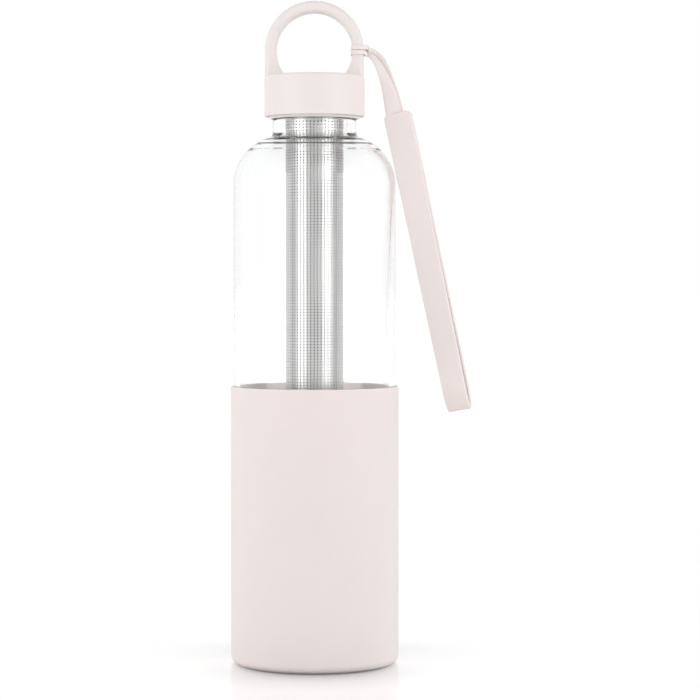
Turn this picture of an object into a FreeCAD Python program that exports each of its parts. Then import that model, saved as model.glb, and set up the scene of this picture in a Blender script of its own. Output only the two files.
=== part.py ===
"""Fruit infuser water bottle: glass, sleeve, infuser, lid and carrying strap.

Millimetres, +Z up. The origin is the centre of the base, the handle lies in the XZ plane
and the strap hangs on the +X side.
"""
import FreeCAD, Part
import math
import os
import Sketcher

# Driving dimensions: every other size is an expression of these.
SIZES = {
    # Glass
    "glass_radius": 32.75,
    "glass_wall": 2.2,
    "glass_floor": 5.0,
    "glass_heel": 5.0,
    "glass_heel_inside": 6.0,
    "shoulder_height": 193.0,
    "shoulder_round": 20.0,
    "neck_step": 1.2,
    "neck_round": 2.0,
    "neck_length": 5.0,
    "finish_wall": 2.3,
    "finish_height": 11.9,
    "mouth_round": 0.8,
    # Bayonet lugs on the glass and inside the lid
    "lug_depth": 1.05,
    "lug_height": 1.6,
    "lug_drop": 4.2,
    "lug_clear": 0.4,
    "lug_play": 0.3,
    "glass_lug_angle": 50.0,
    "liner_lug_angle": 40.0,
    # Sleeve
    "sleeve_wall": 1.2,
    "sleeve_height": 112.0,
    "sleeve_floor": 1.8,
    "sleeve_heel": 3.0,
    "sleeve_rim_round": 0.5,
    "sleeve_gap": 0.05,
    # Infuser
    "infuser_radius": 11.7,
    "infuser_wall": 0.4,
    "infuser_length": 170.5,
    "base_thickness": 0.5,
    "base_skirt": 4.0,
    "rim_thickness": 0.6,
    "rim_inset": 0.3,
    "seat_ring_thickness": 0.9,
    "seat_ring_wall": 1.35,
    "seat_ring_skirt": 3.5,
    "seat_ring_gap": 0.3,
    # Lid
    "lid_wall": 1.8,
    "lid_roof": 1.85,
    "lid_edge_round": 1.2,
    "liner_wall": 1.2,
    "liner_roof": 1.2,
    "liner_lip": 1.0,
    "liner_lip_chamfer": 0.5,
    "neck_gap": 0.5,
    "seal_thickness": 1.2,
    "seal_gap": 0.3,
    "press_gap": 0.05,
    # Loop handle
    "handle_inset": 0.3,
    "handle_bar": 4.6,
    "handle_depth": 10.0,
    "handle_rise": 10.0,
    "handle_round": 2.0,
    # Strap
    "hitch_gap": 0.15,
    "hitch_band": 0.6,
    "hitch_band_height": 1.5,
    "hitch_spacing": 0.2,
    "hitch_bridge": 3.0,
    "strand_thickness": 1.7,
    "strand_offset": 1.1,
    "strap_lean": 12.0,
    "collar_reach": 13.5,
    "collar_drop": 24.7,
    "collar_width": 10.9,
    "collar_depth": 5.2,
    "collar_length": 25.0,
    "collar_bevel": 1.5,
    "collar_yaw": 12.0,
    "band_width": 10.3,
    "band_layer": 1.9,
    "band_gap": 1.2,
    "band_length": 98.0,
    "band_yaw": 22.0,
}
LUG_COUNT = 3
# The most of a bar's side that its edge rounding may take
EDGE_SHARE = 0.45
# Lengths below this are taken as none
NO_LENGTH = 1e-6

# The strands' routes, seen from the front and measured from the hitch:
# across, up, tilt in degrees, width. The last section lies on the collar's top.
FRONT_ROUTE = [
    (1.5, -1.0, -90.0, 1.4),
    (4.1, -2.4, -50.0, 2.0),
    (6.5, -6.5, -28.0, 2.6),
    (10.0, -15.4, -18.0, 4.3),
    (11.7, -20.5, -13.5, 5.5),
]
BACK_ROUTE = [
    (1.5, 0.0, -90.0, 1.4),
    (4.4, -0.2, -72.0, 1.8),
    (7.0, -1.9, -43.0, 2.2),
    (9.2, -5.4, -24.0, 2.8),
    (11.5, -12.0, -15.0, 4.0),
    (13.0, -18.8, -12.0, 5.4),
]
STRAND_FOOT_WIDTH = 6.3
STRAND_FOOT_SHIFT = 0.4

# Radii, worked out from the infuser outwards
BORE_RADIUS = "(sizes.infuser_radius + sizes.press_gap + sizes.seat_ring_wall + sizes.seat_ring_gap)"
FINISH_RADIUS = f"({BORE_RADIUS} + sizes.finish_wall)"
NECK_RADIUS = f"({FINISH_RADIUS} + sizes.neck_step)"
GLASS_LUG_RADIUS = f"({FINISH_RADIUS} + sizes.lug_depth)"
LINER_BORE = f"({GLASS_LUG_RADIUS} + sizes.lug_clear)"
LINER_RADIUS = f"({LINER_BORE} + sizes.liner_wall)"
LID_BORE = f"({LINER_RADIUS} + sizes.press_gap)"
LID_RADIUS = f"({LID_BORE} + sizes.lid_wall)"
SLEEVE_BORE = "(sizes.glass_radius + sizes.sleeve_gap)"
SLEEVE_RADIUS = f"({SLEEVE_BORE} + sizes.sleeve_wall)"

# The shoulder and the neck meet in two tangent arcs, outside and inside the glass
SHOULDER_X = "(sizes.glass_radius - sizes.shoulder_round)"
SHOULDER_INNER_ROUND = "(sizes.shoulder_round - sizes.glass_wall)"
NECK_INNER_ROUND = "(sizes.neck_round + sizes.glass_wall)"
ARC_CENTRES_APART = "(sizes.shoulder_round + sizes.neck_round)"
NECK_ARC_X = f"({NECK_RADIUS} + sizes.neck_round)"
NECK_ARC_RISE = f"sqrt({ARC_CENTRES_APART}^2 - ({NECK_ARC_X} - {SHOULDER_X})^2)"
BORE_ARC_X = f"({BORE_RADIUS} + {NECK_INNER_ROUND})"
BORE_ARC_RISE = f"sqrt({ARC_CENTRES_APART}^2 - ({BORE_ARC_X} - {SHOULDER_X})^2)"

# Heights, worked out from the ground up to the lid
GLASS_BASE = "(sizes.sleeve_floor + sizes.sleeve_gap)"
NECK_FOOT = f"(sizes.shoulder_height + {NECK_ARC_RISE})"
NECK_TOP = f"({NECK_FOOT} + sizes.neck_length)"
MOUTH = f"({NECK_TOP} + sizes.finish_height)"
SEAT_RING_FOOT = f"({MOUTH} + sizes.press_gap)"
RIM_FOOT = f"({SEAT_RING_FOOT} + sizes.seat_ring_thickness + sizes.press_gap)"
RIM_TOP = f"({RIM_FOOT} + sizes.rim_thickness)"
SEAL_FOOT = f"({RIM_TOP} + sizes.press_gap)"
LINER_CEILING = f"({SEAL_FOOT} + sizes.seal_thickness + sizes.press_gap)"
LINER_TOP = f"({LINER_CEILING} + sizes.liner_roof)"
LID_CEILING = f"({LINER_TOP} + sizes.press_gap)"
LID_TOP = f"({LID_CEILING} + sizes.lid_roof)"
LINER_FOOT = f"({NECK_TOP} + sizes.neck_gap)"
LID_FOOT = f"({LINER_FOOT} + sizes.liner_lip)"
GLASS_LUG_TOP = f"({MOUTH} - sizes.lug_drop)"
GLASS_LUG_FOOT = f"({GLASS_LUG_TOP} - sizes.lug_height)"
LINER_LUG_TOP = f"({GLASS_LUG_FOOT} - sizes.lug_play)"
TUBE_FOOT = f"({RIM_TOP} - sizes.infuser_length)"

# Handle and hitch
HANDLE_RADIUS = f"({LID_RADIUS} - sizes.handle_inset)"
HANDLE_OPENING = f"({HANDLE_RADIUS} - sizes.handle_bar)"
HANDLE_CENTRE = f"({LID_TOP} + sizes.handle_rise)"
HANDLE_FOOT = f"({LID_TOP} - sizes.lid_edge_round)"
HANDLE_EDGE = f"min(sizes.handle_round; {EDGE_SHARE} * sizes.handle_bar; {EDGE_SHARE} * sizes.handle_depth)"

doc = FreeCAD.newDocument("infuser_bottle")
sheet = doc.addObject("Spreadsheet::Sheet", "sizes")
for row, (alias, value) in enumerate(SIZES.items(), start=1):
    sheet.set(f"A{row}", alias)
    sheet.set(f"B{row}", str(value))
    sheet.setAlias(f"B{row}", alias)
doc.recompute()


def value_of(expression):
    """The number that an expression of the sheet gives."""
    return float(sheet.evalExpression(expression.replace("sizes.", "")))


def new_body(label):
    body = doc.addObject("PartDesign::Body", label)
    body.Label = label
    return body


def new_sketch(body, name, plane_role):
    """An empty sketch on one of the body's own origin planes."""
    sketch = body.newObject("Sketcher::SketchObject", name)
    plane = next(f for f in body.Origin.OriginFeatures if f.Role == plane_role)
    sketch.AttachmentSupport = [(plane, "")]
    sketch.MapMode = "FlatFace"
    return sketch


def bind_point(sketch, geometry, vertex, place, across, up):
    """Dimension one vertex from the sketch's origin."""
    for axis_line, kind, value, expression in (
        (-2, "DistanceX", place.x, across),
        (-1, "DistanceY", place.y, up),
    ):
        if abs(value) < NO_LENGTH:
            sketch.addConstraint(Sketcher.Constraint("PointOnObject", geometry, vertex, axis_line))
            continue
        index = sketch.addConstraint(Sketcher.Constraint(kind, -1, 1, geometry, vertex, value))
        sketch.setExpression(f"Constraints[{index}]", expression)


def add_arc(sketch, start, end, corner):
    """The shorter arc from start to end about the corner's centre, and its end vertices in order."""
    centre = FreeCAD.Vector(value_of(corner[2]), value_of(corner[3]), 0)
    first = math.atan2(start.y - centre.y, start.x - centre.x)
    last = math.atan2(end.y - centre.y, end.x - centre.x)
    counter_clockwise = (last - first) % (2 * math.pi) < math.pi
    circle = Part.Circle(centre, FreeCAD.Vector(0, 0, 1), start.distanceToPoint(centre))
    angles = (first, last) if counter_clockwise else (last, first)
    geometry = sketch.addGeometry(Part.ArcOfCircle(circle, *angles))
    # The ends are dimensioned, so the centre only needs the direction square to the chord.
    chord = end - start
    if abs(chord.x) > abs(chord.y):
        kind, value, expression = "DistanceY", centre.y, corner[3]
    else:
        kind, value, expression = "DistanceX", centre.x, corner[2]
    if abs(value) < NO_LENGTH:
        axis_line = -1 if kind == "DistanceY" else -2
        sketch.addConstraint(Sketcher.Constraint("PointOnObject", geometry, 3, axis_line))
    else:
        index = sketch.addConstraint(Sketcher.Constraint(kind, -1, 1, geometry, 3, value))
        sketch.setExpression(f"Constraints[{index}]", expression)
    return geometry, ((1, 2) if counter_clockwise else (2, 1))


def draw_outline(sketch, corners):
    """A closed outline. A corner is (across, up), or (across, up, centre across, centre up)
    where an arc leads to it; all are expressions of the sheet."""
    places = [FreeCAD.Vector(value_of(c[0]), value_of(c[1]), 0) for c in corners]
    segments = []
    for index, corner in enumerate(corners):
        start, end = places[index - 1], places[index]
        if len(corner) == 2:
            geometry = sketch.addGeometry(Part.LineSegment(start, end))
            segments.append((geometry, (1, 2)))
        else:
            segments.append(add_arc(sketch, start, end, corner))
    for index, (geometry, ends) in enumerate(segments):
        before, before_ends = segments[index - 1]
        sketch.addConstraint(
            Sketcher.Constraint("Coincident", before, before_ends[1], geometry, ends[0])
        )
    for (geometry, ends), place, corner in zip(segments, places, corners):
        bind_point(sketch, geometry, ends[1], place, corner[0], corner[1])


def draw_rounded_rectangle(sketch, half_across, half_up, corner_round):
    """A rectangle about the sketch's origin with four equal round corners."""
    inner_across = f"({half_across} - {corner_round})"
    inner_up = f"({half_up} - {corner_round})"
    draw_outline(sketch, [
        (inner_across, f"-{half_up}"),
        (half_across, f"-{inner_up}", inner_across, f"-{inner_up}"),
        (half_across, inner_up),
        (inner_across, half_up, inner_across, inner_up),
        (f"-{inner_across}", half_up),
        (f"-{half_across}", inner_up, f"-{inner_across}", inner_up),
        (f"-{half_across}", f"-{inner_up}"),
        (f"-{inner_across}", f"-{half_up}", f"-{inner_across}", f"-{inner_up}"),
    ])


def revolve(body, name, corners):
    """Turn an outline in the XZ plane once round the Z axis."""
    sketch = new_sketch(body, f"{name}_outline", "XZ_Plane")
    draw_outline(sketch, corners)
    feature = body.newObject("PartDesign::Revolution", name)
    feature.Profile = sketch
    feature.ReferenceAxis = (sketch, ["V_Axis"])
    feature.Angle = 360
    return feature


def pad(body, name, sketch, length, midplane=False):
    feature = body.newObject("PartDesign::Pad", name)
    feature.Profile = sketch
    feature.Midplane = midplane
    feature.setExpression("Length", length)
    return feature


def add_lugs(body, name, corners, angle):
    """Lugs evenly spaced round the Z axis, each a part turn of its outline."""
    lug = revolve(body, name, corners)
    lug.Midplane = True
    lug.setExpression("Angle", angle)
    doc.recompute()
    ring = body.newObject("PartDesign::PolarPattern", f"{name}_ring")
    ring.Originals = [lug]
    ring.Axis = (lug.Profile[0], ["V_Axis"])
    ring.Angle = 360
    ring.Occurrences = LUG_COUNT
    body.Tip = ring


def rectangle(inner, outer, foot, top):
    return [(inner, foot), (outer, foot), (outer, top), (inner, top)]


def make_sleeve():
    body = new_body("silicone_sleeve")
    outer_heel = f"({SLEEVE_RADIUS} - sizes.sleeve_heel)"
    rim_x = f"({SLEEVE_RADIUS} - sizes.sleeve_rim_round)"
    rim_z = "(sizes.sleeve_height - sizes.sleeve_rim_round)"
    heel_x = "(sizes.glass_radius - sizes.glass_heel)"
    heel_z = f"({GLASS_BASE} + sizes.glass_heel)"
    revolve(body, "sleeve_wall", [
        ("0", "0"),
        (outer_heel, "0"),
        (SLEEVE_RADIUS, "sizes.sleeve_heel", outer_heel, "sizes.sleeve_heel"),
        (SLEEVE_RADIUS, rim_z),
        (rim_x, "sizes.sleeve_height", rim_x, rim_z),
        (SLEEVE_BORE, "sizes.sleeve_height"),
        (SLEEVE_BORE, heel_z),
        (heel_x, "sizes.sleeve_floor", heel_x, heel_z),
        ("0", "sizes.sleeve_floor"),
    ])
    return body


def make_glass():
    body = new_body("glass_bottle")
    heel_x = "(sizes.glass_radius - sizes.glass_heel)"
    heel_z = f"({GLASS_BASE} + sizes.glass_heel)"
    floor_z = f"({GLASS_BASE} + sizes.glass_floor)"
    bore_of_body = "(sizes.glass_radius - sizes.glass_wall)"
    inner_heel_x = f"({bore_of_body} - sizes.glass_heel_inside)"
    inner_heel_z = f"({floor_z} + sizes.glass_heel_inside)"
    outer_share = f"(sizes.shoulder_round / {ARC_CENTRES_APART})"
    inner_share = f"({SHOULDER_INNER_ROUND} / {ARC_CENTRES_APART})"
    bore_foot = f"(sizes.shoulder_height + {BORE_ARC_RISE})"
    mouth_edge = f"({MOUTH} - sizes.mouth_round)"
    mouth_outer = f"({FINISH_RADIUS} - sizes.mouth_round)"
    mouth_inner = f"({BORE_RADIUS} + sizes.mouth_round)"
    revolve(body, "glass_wall", [
        ("0", GLASS_BASE),
        (heel_x, GLASS_BASE),
        ("sizes.glass_radius", heel_z, heel_x, heel_z),
        ("sizes.glass_radius", "sizes.shoulder_height"),
        (
            f"({SHOULDER_X} + {outer_share} * ({NECK_ARC_X} - {SHOULDER_X}))",
            f"(sizes.shoulder_height + {outer_share} * {NECK_ARC_RISE})",
            SHOULDER_X, "sizes.shoulder_height",
        ),
        (NECK_RADIUS, NECK_FOOT, NECK_ARC_X, NECK_FOOT),
        (NECK_RADIUS, NECK_TOP),
        (FINISH_RADIUS, NECK_TOP),
        (FINISH_RADIUS, mouth_edge),
        (mouth_outer, MOUTH, mouth_outer, mouth_edge),
        (mouth_inner, MOUTH),
        (BORE_RADIUS, mouth_edge, mouth_inner, mouth_edge),
        (BORE_RADIUS, bore_foot),
        (
            f"({SHOULDER_X} + {inner_share} * ({BORE_ARC_X} - {SHOULDER_X}))",
            f"(sizes.shoulder_height + {inner_share} * {BORE_ARC_RISE})",
            BORE_ARC_X, bore_foot,
        ),
        (bore_of_body, "sizes.shoulder_height", SHOULDER_X, "sizes.shoulder_height"),
        (bore_of_body, inner_heel_z),
        (inner_heel_x, floor_z, inner_heel_x, inner_heel_z),
        ("0", floor_z),
    ])
    root = f"({FINISH_RADIUS} - sizes.lug_depth)"
    lug = rectangle(root, GLASS_LUG_RADIUS, GLASS_LUG_FOOT, GLASS_LUG_TOP)
    add_lugs(body, "glass_lug", lug, "sizes.glass_lug_angle")
    return body


def make_infuser_tube():
    body = new_body("infuser_tube")
    inner = "(sizes.infuser_radius - sizes.infuser_wall)"
    revolve(body, "tube_wall", rectangle(inner, "sizes.infuser_radius", TUBE_FOOT, RIM_TOP))
    return body


def make_infuser_base():
    """A shallow cap whose skirt goes up inside the tube."""
    body = new_body("infuser_base")
    skirt_outer = "(sizes.infuser_radius - sizes.infuser_wall - sizes.press_gap)"
    skirt_inner = f"({skirt_outer} - sizes.infuser_wall)"
    disc_top = f"({TUBE_FOOT} - sizes.press_gap)"
    disc_foot = f"({disc_top} - sizes.base_thickness)"
    skirt_top = f"({disc_top} + sizes.base_skirt)"
    revolve(body, "base_cap", [
        ("0", disc_foot),
        ("sizes.infuser_radius", disc_foot),
        ("sizes.infuser_radius", disc_top),
        (skirt_outer, disc_top),
        (skirt_outer, skirt_top),
        (skirt_inner, skirt_top),
        (skirt_inner, disc_top),
        ("0", disc_top),
    ])
    return body


def make_infuser_rim():
    body = new_body("infuser_rim")
    inner = "(sizes.infuser_radius + sizes.press_gap)"
    outer = f"({FINISH_RADIUS} - sizes.rim_inset)"
    revolve(body, "rim_flange", rectangle(inner, outer, RIM_FOOT, RIM_TOP))
    return body


def make_infuser_seat_ring():
    """A soft ring on the mouth, with a skirt that centres the tube in the bore."""
    body = new_body("infuser_seat_ring")
    inner = "(sizes.infuser_radius + sizes.press_gap)"
    skirt_outer = f"({inner} + sizes.seat_ring_wall)"
    outer = f"({FINISH_RADIUS} - sizes.rim_inset)"
    skirt_foot = f"({SEAT_RING_FOOT} - sizes.seat_ring_skirt)"
    top = f"({SEAT_RING_FOOT} + sizes.seat_ring_thickness)"
    revolve(body, "seat_ring", [
        (inner, skirt_foot),
        (skirt_outer, skirt_foot),
        (skirt_outer, SEAT_RING_FOOT),
        (outer, SEAT_RING_FOOT),
        (outer, top),
        (inner, top),
    ])
    return body


def make_lid_seal():
    body = new_body("lid_seal")
    inner = "(sizes.infuser_radius + sizes.press_gap)"
    outer = f"({LINER_BORE} - sizes.seal_gap)"
    top = f"({SEAL_FOOT} + sizes.seal_thickness)"
    revolve(body, "seal_washer", rectangle(inner, outer, SEAL_FOOT, top))
    return body


def make_lid_liner():
    """The ring inside the lid. Its lugs stand half a pitch away from the lugs on the glass."""
    body = new_body("lid_liner")
    lip_x = f"({LINER_RADIUS} - sizes.liner_lip_chamfer)"
    revolve(body, "liner_wall", [
        ("0", LINER_CEILING),
        (LINER_BORE, LINER_CEILING),
        (LINER_BORE, LINER_FOOT),
        (lip_x, LINER_FOOT),
        (LINER_RADIUS, LID_FOOT),
        (LINER_RADIUS, LINER_TOP),
        ("0", LINER_TOP),
    ])
    root = f"-({LINER_BORE} + sizes.liner_wall / 2)"
    tip = f"-({FINISH_RADIUS} + sizes.lug_clear)"
    foot = f"({LINER_LUG_TOP} - sizes.lug_height)"
    add_lugs(body, "liner_lug", rectangle(root, tip, foot, LINER_LUG_TOP), "sizes.liner_lug_angle")
    return body


def make_lid_shell():
    """The lid with its loop handle: a round bar of an arch that stands on the lid's roof."""
    body = new_body("lid_shell")
    opening_foot = f"sqrt({HANDLE_OPENING}^2 - ({HANDLE_CENTRE} - {HANDLE_FOOT})^2)"
    opening_top = f"({HANDLE_CENTRE} + {HANDLE_OPENING})"
    arch_top = f"({HANDLE_CENTRE} + {HANDLE_RADIUS})"
    sketch = new_sketch(body, "handle_outline", "XZ_Plane")
    draw_outline(sketch, [
        (HANDLE_RADIUS, HANDLE_FOOT),
        (HANDLE_RADIUS, HANDLE_CENTRE),
        ("0", arch_top, "0", HANDLE_CENTRE),
        (f"-{HANDLE_RADIUS}", HANDLE_CENTRE, "0", HANDLE_CENTRE),
        (f"-{HANDLE_RADIUS}", HANDLE_FOOT),
        (f"-{opening_foot}", HANDLE_FOOT),
        ("0", opening_top, "0", HANDLE_CENTRE),
        (opening_foot, HANDLE_FOOT, "0", HANDLE_CENTRE),
    ])
    bar = pad(body, "handle_bar", sketch, "sizes.handle_depth", midplane=True)
    doc.recompute()

    half_depth = value_of("sizes.handle_depth") / 2
    foot = value_of(HANDLE_FOOT)
    long_edges = []
    for index, edge in enumerate(bar.Shape.Edges, start=1):
        box = edge.BoundBox
        lies_on_a_side = box.YLength < NO_LENGTH and abs(abs(box.YMin) - half_depth) < NO_LENGTH
        if lies_on_a_side and box.ZMax > foot + NO_LENGTH:
            long_edges.append(f"Edge{index}")
    rounded = body.newObject("PartDesign::Fillet", "handle_rounding")
    rounded.Base = (bar, long_edges)
    rounded.setExpression("Radius", HANDLE_EDGE)
    doc.recompute()

    edge_x = f"({LID_RADIUS} - sizes.lid_edge_round)"
    revolve(body, "lid_cup", [
        ("0", LID_CEILING),
        (LID_BORE, LID_CEILING),
        (LID_BORE, LID_FOOT),
        (LID_RADIUS, LID_FOOT),
        (LID_RADIUS, HANDLE_FOOT),
        (edge_x, LID_TOP, edge_x, HANDLE_FOOT),
        ("0", LID_TOP),
    ])
    return body


def place_at_hitch(body, across, up):
    """Bind a strap piece's place to the limb of the handle that carries it."""
    body.setExpression("Placement.Base.x", f"{HANDLE_RADIUS} + {across}")
    body.setExpression("Placement.Base.z", f"{HANDLE_CENTRE} + {up}")


def make_strap_hitch():
    """Two flat turns round the limb, joined behind it."""
    body = new_body("strap_hitch")
    half_across = "(sizes.handle_bar / 2 + sizes.hitch_gap)"
    half_deep = "(sizes.handle_depth / 2 + sizes.hitch_gap)"
    inner_round = f"({HANDLE_EDGE} + sizes.hitch_gap)"
    height = "sizes.hitch_band_height"
    both = f"(2 * {height} + sizes.hitch_spacing)"
    outer_deep = f"({half_deep} + sizes.hitch_band)"

    def turn(name, foot):
        sketch = new_sketch(body, f"{name}_outline", "XY_Plane")
        sketch.setExpression("AttachmentOffset.Base.z", foot)
        draw_rounded_rectangle(sketch, half_across, half_deep, inner_round)
        draw_rounded_rectangle(
            sketch,
            f"({half_across} + sizes.hitch_band)",
            outer_deep,
            f"({inner_round} + sizes.hitch_band)",
        )
        pad(body, name, sketch, height)

    turn("lower_turn", f"-{height}")
    bridge = new_sketch(body, "bridge_outline", "XY_Plane")
    bridge.setExpression("AttachmentOffset.Base.z", f"-{height}")
    draw_outline(bridge, [
        ("-sizes.hitch_bridge / 2", half_deep),
        ("sizes.hitch_bridge / 2", half_deep),
        ("sizes.hitch_bridge / 2", outer_deep),
        ("-sizes.hitch_bridge / 2", outer_deep),
    ])
    pad(body, "bridge", bridge, both)
    turn("upper_turn", "sizes.hitch_spacing")
    place_at_hitch(body, "-sizes.handle_bar / 2", "0")
    return body


def make_strap_strand(label, route, side):
    """A flat strand that widens from the hitch to the collar. side is -1 in front, 1 behind."""
    body = new_body(label)
    lean = value_of("sizes.strap_lean")
    foot_across = value_of("sizes.collar_reach") + side * STRAND_FOOT_SHIFT * math.cos(math.radians(lean))
    foot_up = -value_of("sizes.collar_drop") + side * STRAND_FOOT_SHIFT * math.sin(math.radians(lean))
    sections = route + [(foot_across, foot_up, -lean, STRAND_FOOT_WIDTH)]
    depth = side * value_of("sizes.strand_offset")
    sketches = []
    for number, (across, up, tilt, width) in enumerate(sections):
        sketch = new_sketch(body, f"{label}_section_{number}", "XY_Plane")
        sketch.AttachmentOffset = FreeCAD.Placement(
            FreeCAD.Vector(across, depth, up),
            FreeCAD.Rotation(FreeCAD.Vector(0, 1, 0), tilt),
        )
        half_width = width / 2
        half_thick = "sizes.strand_thickness / 2"
        draw_outline(sketch, [
            (f"-{half_width}", f"-{half_thick}"),
            (f"{half_width}", f"-{half_thick}"),
            (f"{half_width}", half_thick),
            (f"-{half_width}", half_thick),
        ])
        sketches.append(sketch)
    loft = body.newObject("PartDesign::AdditiveLoft", f"{label}_loft")
    loft.Profile = sketches[0]
    loft.Sections = sketches[1:]
    place_at_hitch(body, "0", "0")
    return body


def strap_rotation(yaw):
    """Lean the lower end out to +X, and turn the piece about its own length."""
    lean = FreeCAD.Rotation(FreeCAD.Vector(0, 1, 0), -value_of("sizes.strap_lean"))
    return lean.multiply(FreeCAD.Rotation(FreeCAD.Vector(0, 0, 1), -value_of(yaw)))


def make_strap_collar():
    body = new_body("strap_collar")
    half_width = "(sizes.collar_width / 2)"
    bevel_x = f"({half_width} - sizes.collar_bevel)"
    sketch = new_sketch(body, "collar_outline", "XZ_Plane")
    draw_outline(sketch, [
        (f"-{half_width}", "-sizes.collar_length"),
        (half_width, "-sizes.collar_length"),
        (half_width, "-sizes.collar_bevel"),
        (bevel_x, "0"),
        (f"-{bevel_x}", "0"),
        (f"-{half_width}", "-sizes.collar_bevel"),
    ])
    pad(body, "collar_block", sketch, "sizes.collar_depth", midplane=True)
    body.Placement.Rotation = strap_rotation("sizes.collar_yaw")
    place_at_hitch(body, "sizes.collar_reach", "-sizes.collar_drop")
    return body


def make_strap_band():
    """A flat band folded in two: both ends meet the collar, the fold hangs below."""
    body = new_body("strap_band")
    inner = "(sizes.band_gap / 2)"
    outer = f"({inner} + sizes.band_layer)"
    bend_z = f"-(sizes.band_length - {outer})"
    sketch = new_sketch(body, "band_outline", "YZ_Plane")
    draw_outline(sketch, [
        (outer, "0"),
        (outer, bend_z),
        ("0", "-sizes.band_length", "0", bend_z),
        (f"-{outer}", bend_z, "0", bend_z),
        (f"-{outer}", "0"),
        (f"-{inner}", "0"),
        (f"-{inner}", bend_z),
        ("0", f"({bend_z} - {inner})", "0", bend_z),
        (inner, bend_z, "0", bend_z),
        (inner, "0"),
    ])
    pad(body, "band_fold", sketch, "sizes.band_width", midplane=True)
    body.Placement.Rotation = strap_rotation("sizes.band_yaw")
    lean = "(sizes.strap_lean * pi / 180 * 1 rad)"
    place_at_hitch(
        body,
        f"sizes.collar_reach + sizes.collar_length * sin({lean})",
        f"-sizes.collar_drop - sizes.collar_length * cos({lean})",
    )
    return body


pieces = [
    make_sleeve(),
    make_glass(),
    make_infuser_tube(),
    make_infuser_base(),
    make_infuser_rim(),
    make_infuser_seat_ring(),
    make_lid_seal(),
    make_lid_liner(),
    make_lid_shell(),
    make_strap_hitch(),
    make_strap_strand("strap_strand_front", FRONT_ROUTE, -1),
    make_strap_strand("strap_strand_back", BACK_ROUTE, 1),
    make_strap_collar(),
    make_strap_band(),
]
doc.recompute()

for item in doc.Objects:
    if "Invalid" in item.State or "Error" in item.State:
        raise RuntimeError(f"{item.Label} did not build: {item.State}")
for piece in pieces:
    shape = piece.Shape
    if shape.isNull() or not shape.isValid() or len(shape.Solids) != 1:
        raise RuntimeError(f"{piece.Label} is not one valid solid")

os.makedirs("parts", exist_ok=True)
for piece in pieces:
    piece.Shape.exportStep(f"parts/{piece.Label}.step")
    box = piece.Shape.BoundBox
    print(
        f"{piece.Label}: {piece.Shape.Volume:.1f} mm3, "
        f"x {box.XMin:.2f} to {box.XMax:.2f}, y {box.YMin:.2f} to {box.YMax:.2f}, "
        f"z {box.ZMin:.2f} to {box.ZMax:.2f}"
    )
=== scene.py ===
"""Fruit infuser water bottle: a glass body in a soft sleeve, a perforated steel infuser, a lid with
a loop handle, and a strap hitched to the handle.

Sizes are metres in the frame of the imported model: +Z up, the origin at the centre of the base, the
handle in the XZ plane and the strap on the +X side.
"""
import math

import bmesh
import bpy
from bpy.props import FloatProperty, FloatVectorProperty, IntProperty, PointerProperty
from mathutils import Matrix, Vector


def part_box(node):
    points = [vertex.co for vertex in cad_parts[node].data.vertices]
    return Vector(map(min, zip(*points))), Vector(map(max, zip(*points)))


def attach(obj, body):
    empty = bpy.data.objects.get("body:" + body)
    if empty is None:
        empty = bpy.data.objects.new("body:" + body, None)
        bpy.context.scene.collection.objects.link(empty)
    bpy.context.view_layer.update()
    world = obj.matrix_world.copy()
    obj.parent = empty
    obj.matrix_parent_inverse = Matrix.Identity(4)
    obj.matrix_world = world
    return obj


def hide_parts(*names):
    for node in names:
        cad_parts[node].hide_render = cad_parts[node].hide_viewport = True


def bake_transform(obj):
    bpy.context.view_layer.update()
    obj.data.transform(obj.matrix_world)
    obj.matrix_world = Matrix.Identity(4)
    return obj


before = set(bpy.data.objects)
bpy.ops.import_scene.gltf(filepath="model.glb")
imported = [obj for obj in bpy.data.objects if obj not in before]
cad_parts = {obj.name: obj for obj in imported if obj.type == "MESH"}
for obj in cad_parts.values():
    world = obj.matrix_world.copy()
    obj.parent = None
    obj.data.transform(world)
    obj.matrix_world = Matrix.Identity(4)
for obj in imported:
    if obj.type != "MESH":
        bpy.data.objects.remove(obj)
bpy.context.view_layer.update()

bl_info = {
    "name": "Infuser bottle",
    "version": (1, 0, 0),
    "blender": (4, 5, 0),
    "location": "View3D > Sidebar > Bottle",
    "description": "Builds a fruit infuser water bottle round its packed model",
    "category": "Object",
}

MM = 0.001
# Vertices closer than this are one
MERGE = 0.002 * MM
# A face whose middle is closer than this to a round wall lies on it
ON_WALL = 0.1 * MM
# Edges that turn by more than this are sharp
SHARP = math.radians(35)
UP = Vector((0, 0, 1))
LUG_COUNT = 3
RIPPLE_COUNT = 3
HOLE_CORNERS = 8
# How finely the round forms are divided
TURN_STEPS = 144
RIPPLE_STEPS = 32
ARCH_STEPS = 48
LIMB_STEPS = 10
BAND_STEPS = 30
# The higher, the narrower the sides where the floor's painted contact shade is cut away
SHADE_CUT_POWER = 4


def length(name, millimetres, description):
    """A size property in metres, given in millimetres."""
    return FloatProperty(
        name=name, description=description, default=millimetres * MM,
        min=0.0, precision=5, subtype="DISTANCE", unit="LENGTH",
    )


def angle(name, degrees, description):
    return FloatProperty(
        name=name, description=description, default=math.radians(degrees),
        subtype="ANGLE", unit="ROTATION",
    )


def colour(name, value, description):
    return FloatVectorProperty(
        name=name, description=description, default=value,
        min=0.0, max=1.0, size=3, subtype="COLOR",
    )


def share(name, value, description):
    return FloatProperty(name=name, description=description, default=value, min=0.0, soft_max=1.0)


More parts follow.
